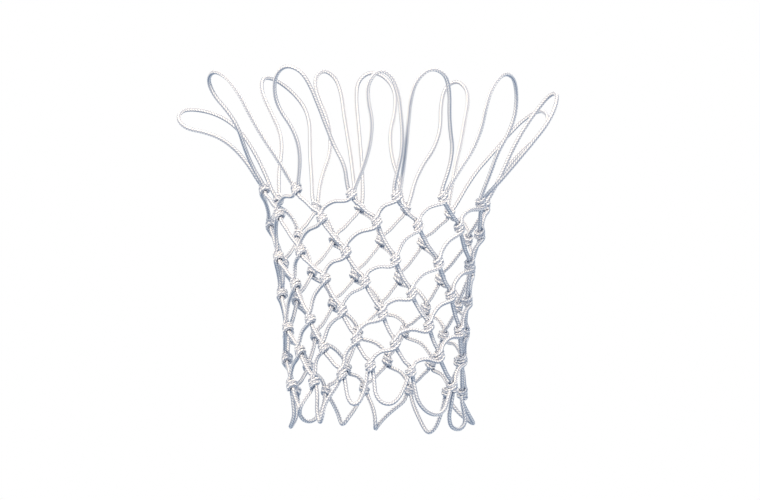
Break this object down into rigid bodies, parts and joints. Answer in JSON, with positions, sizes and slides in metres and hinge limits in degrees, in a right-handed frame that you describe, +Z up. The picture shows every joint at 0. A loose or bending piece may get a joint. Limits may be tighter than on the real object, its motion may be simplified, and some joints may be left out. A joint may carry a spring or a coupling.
{
  "type": "basketball hoop net",
  "caption": "Tube-shaped net of knotted braided cord, with twelve long loops round its top to hang it by and twelve short loops round its lower end, for a basketball hoop.",
  "frame": {"origin": "middle of the plane of the rim's hooks, on the tube's axis", "axes": "+Z up along the tube's axis, towards the hanging loops; -Y is the front that faces the viewer"},
  "size_m": [0.5367, 0.4613, 0.5301],
  "materials": {
    "braided_cord": "matt round braid, warm white"
  },
  "bodies": {
    "row_1": {"knots_row_1": "braided_cord", "straight_strands_1": "braided_cord", "swaying_strands_1": "braided_cord"},
    "row_2": {"knots_row_2": "braided_cord", "straight_strands_2": "braided_cord", "swaying_strands_2": "braided_cord"},
    "row_3": {"knots_row_3": "braided_cord", "straight_strands_3": "braided_cord", "swaying_strands_3": "braided_cord"},
    "row_4": {"knots_row_4": "braided_cord", "straight_strands_4": "braided_cord", "swaying_strands_4": "braided_cord"},
    "row_5": {"knots_row_5": "braided_cord", "straight_strands_5": "braided_cord", "swaying_strands_5": "braided_cord"},
    "row_6": {"knots_row_6": "braided_cord", "straight_strands_6": "braided_cord", "swaying_strands_6": "braided_cord"},
    "row_7": {"knots_row_7": "braided_cord"},
    "top_loop_01": {"top_loop_01": "braided_cord"},
    "top_loop_02": {"top_loop_02": "braided_cord"},
    "top_loop_03": {"top_loop_03": "braided_cord"},
    "top_loop_04": {"top_loop_04": "braided_cord"},
    "top_loop_05": {"top_loop_05": "braided_cord"},
    "top_loop_06": {"top_loop_06": "braided_cord"},
    "top_loop_07": {"top_loop_07": "braided_cord"},
    "top_loop_08": {"top_loop_08": "braided_cord"},
    "top_loop_09": {"top_loop_09": "braided_cord"},
    "top_loop_10": {"top_loop_10": "braided_cord"},
    "top_loop_11": {"top_loop_11": "braided_cord"},
    "top_loop_12": {"top_loop_12": "braided_cord"},
    "bottom_loop_01": {"bottom_loop_01": "braided_cord"},
    "bottom_loop_02": {"bottom_loop_02": "braided_cord"},
    "bottom_loop_03": {"bottom_loop_03": "braided_cord"},
    "bottom_loop_04": {"bottom_loop_04": "braided_cord"},
    "bottom_loop_05": {"bottom_loop_05": "braided_cord"},
    "bottom_loop_06": {"bottom_loop_06": "braided_cord"},
    "bottom_loop_07": {"bottom_loop_07": "braided_cord"},
    "bottom_loop_08": {"bottom_loop_08": "braided_cord"},
    "bottom_loop_09": {"bottom_loop_09": "braided_cord"},
    "bottom_loop_10": {"bottom_loop_10": "braided_cord"},
    "bottom_loop_11": {"bottom_loop_11": "braided_cord"},
    "bottom_loop_12": {"bottom_loop_12": "braided_cord"}
  },
  "joints": [
    {"name": "gather_2", "type": "slide", "parent": "row_1", "child": "row_2", "axis": [0, 0, 1], "range_m": [0, 0.015], "deforming": ["straight_strands_1", "swaying_strands_1"]},
    {"name": "gather_3", "type": "slide", "parent": "row_2", "child": "row_3", "axis": [0, 0, 1], "range_m": [0, 0.015], "deforming": ["straight_strands_2", "swaying_strands_2"]},
    {"name": "gather_4", "type": "slide", "parent": "row_3", "child": "row_4", "axis": [0, 0, 1], "range_m": [0, 0.015], "deforming": ["straight_strands_3", "swaying_strands_3"]},
    {"name": "gather_5", "type": "slide", "parent": "row_4", "child": "row_5", "axis": [0, 0, 1], "range_m": [0, 0.015], "deforming": ["straight_strands_4", "swaying_strands_4"]},
    {"name": "gather_6", "type": "slide", "parent": "row_5", "child": "row_6", "axis": [0, 0, 1], "range_m": [0, 0.015], "deforming": ["straight_strands_5", "swaying_strands_5"]},
    {"name": "gather_7", "type": "slide", "parent": "row_6", "child": "row_7", "axis": [0, 0, 1], "range_m": [0, 0.015], "deforming": ["straight_strands_6", "swaying_strands_6"]},
    {"name": "top_loop_01_swing", "type": "hinge", "parent": "row_1", "child": "top_loop_01", "pos_m": [-0.13184, -0.0701, -0.169], "axis": [0.4679, -0.88, -0.0822], "range_deg": [-23, 60]},
    {"name": "top_loop_02_swing", "type": "hinge", "parent": "row_1", "child": "top_loop_02", "pos_m": [-0.07085, -0.13325, -0.178], "axis": [0.8771, -0.4664, -0.1148], "range_deg": [-16, 67]},
    {"name": "top_loop_03_swing", "type": "hinge", "parent": "row_1", "child": "top_loop_03", "pos_m": [-0.00134, -0.15384, -0.1845], "axis": [0.9988, -0.0087, -0.0479], "range_deg": [-4, 71]},
    {"name": "top_loop_04_swing", "type": "hinge", "parent": "row_1", "child": "top_loop_04", "pos_m": [0.06222, -0.13975, -0.1855], "axis": [0.9135, 0.4067, 0.0142], "range_deg": [-4, 71]},
    {"name": "top_loop_05_swing", "type": "hinge", "parent": "row_1", "child": "top_loop_05", "pos_m": [0.12101, -0.08954, -0.186], "axis": [0.5947, 0.8037, -0.0224], "range_deg": [-12, 71]},
    {"name": "top_loop_06_swing", "type": "hinge", "parent": "row_1", "child": "top_loop_06", "pos_m": [0.15082, -0.01187, -0.1855], "axis": [0.0784, 0.9963, 0.0357], "range_deg": [-21, 62]},
    {"name": "top_loop_07_swing", "type": "hinge", "parent": "row_1", "child": "top_loop_07", "pos_m": [0.12958, 0.07332, -0.1855], "axis": [-0.4922, 0.87, -0.0301], "range_deg": [-25, 58]},
    {"name": "top_loop_08_swing", "type": "hinge", "parent": "row_1", "child": "top_loop_08", "pos_m": [0.07416, 0.1338, -0.1825], "axis": [-0.8676, 0.4809, 0.1264], "range_deg": [-12, 71]},
    {"name": "top_loop_09_swing", "type": "hinge", "parent": "row_1", "child": "top_loop_09", "pos_m": [0.01071, 0.1532, -0.1765], "axis": [-0.9965, 0.0697, 0.0459], "range_deg": [-7, 76]},
    {"name": "top_loop_10_swing", "type": "hinge", "parent": "row_1", "child": "top_loop_10", "pos_m": [-0.05252, 0.14431, -0.176], "axis": [-0.9393, -0.3419, -0.0306], "range_deg": [-2, 75]},
    {"name": "top_loop_11_swing", "type": "hinge", "parent": "row_1", "child": "top_loop_11", "pos_m": [-0.10958, 0.10582, -0.174], "axis": [-0.6925, -0.7171, 0.0787], "range_deg": [-2, 73]},
    {"name": "top_loop_12_swing", "type": "hinge", "parent": "row_1", "child": "top_loop_12", "pos_m": [-0.14529, 0.02562, -0.168], "axis": [-0.1734, -0.9833, 0.0558], "range_deg": [-33, 50]},
    {"name": "bottom_loop_01_swing", "type": "hinge", "parent": "row_7", "child": "bottom_loop_01", "pos_m": [-0.10039, -0.06273, -0.4405], "axis": [-0.5298, 0.8479, -0.0169], "range_deg": [-20, 70]},
    {"name": "bottom_loop_02_swing", "type": "hinge", "parent": "row_7", "child": "bottom_loop_02", "pos_m": [-0.06523, -0.10044, -0.4355], "axis": [-0.8234, 0.5347, -0.1898], "range_deg": [-20, 70]},
    {"name": "bottom_loop_03_swing", "type": "hinge", "parent": "row_7", "child": "bottom_loop_03", "pos_m": [-0.02604, -0.11747, -0.4255], "axis": [-0.9418, 0.2088, -0.2635], "range_deg": [-20, 70]},
    {"name": "bottom_loop_04_swing", "type": "hinge", "parent": "row_7", "child": "bottom_loop_04", "pos_m": [0.02162, -0.11664, -0.4235], "axis": [-0.9759, -0.1809, 0.122], "range_deg": [-20, 70]},
    {"name": "bottom_loop_05_swing", "type": "hinge", "parent": "row_7", "child": "bottom_loop_05", "pos_m": [0.07867, -0.08436, -0.4355], "axis": [-0.7152, -0.6669, 0.2093], "range_deg": [-20, 70]},
    {"name": "bottom_loop_06_swing", "type": "hinge", "parent": "row_7", "child": "bottom_loop_06", "pos_m": [0.11482, -0.02651, -0.447], "axis": [-0.2239, -0.97, 0.0946], "range_deg": [-20, 70]},
    {"name": "bottom_loop_07_swing", "type": "hinge", "parent": "row_7", "child": "bottom_loop_07", "pos_m": [0.11153, 0.03624, -0.447], "axis": [0.3078, -0.9473, -0.0889], "range_deg": [-20, 70]},
    {"name": "bottom_loop_08_swing", "type": "hinge", "parent": "row_7", "child": "bottom_loop_08", "pos_m": [0.07441, 0.09026, -0.441], "axis": [0.7687, -0.6337, -0.0863], "range_deg": [-20, 70]},
    {"name": "bottom_loop_09_swing", "type": "hinge", "parent": "row_7", "child": "bottom_loop_09", "pos_m": [0.0164, 0.1167, -0.437], "axis": [0.9898, -0.1391, -0.0317], "range_deg": [-20, 70]},
    {"name": "bottom_loop_10_swing", "type": "hinge", "parent": "row_7", "child": "bottom_loop_10", "pos_m": [-0.04154, 0.11112, -0.438], "axis": [0.9344, 0.3493, 0.0701], "range_deg": [-20, 70]},
    {"name": "bottom_loop_11_swing", "type": "hinge", "parent": "row_7", "child": "bottom_loop_11", "pos_m": [-0.08984, 0.07538, -0.4415], "axis": [0.6421, 0.7653, 0.0446], "range_deg": [-20, 70]},
    {"name": "bottom_loop_12_swing", "type": "hinge", "parent": "row_7", "child": "bottom_loop_12", "pos_m": [-0.11374, 0.00596, -0.442], "axis": [0.0523, 0.9984, -0.0229], "range_deg": [-20, 70]}
  ]
}
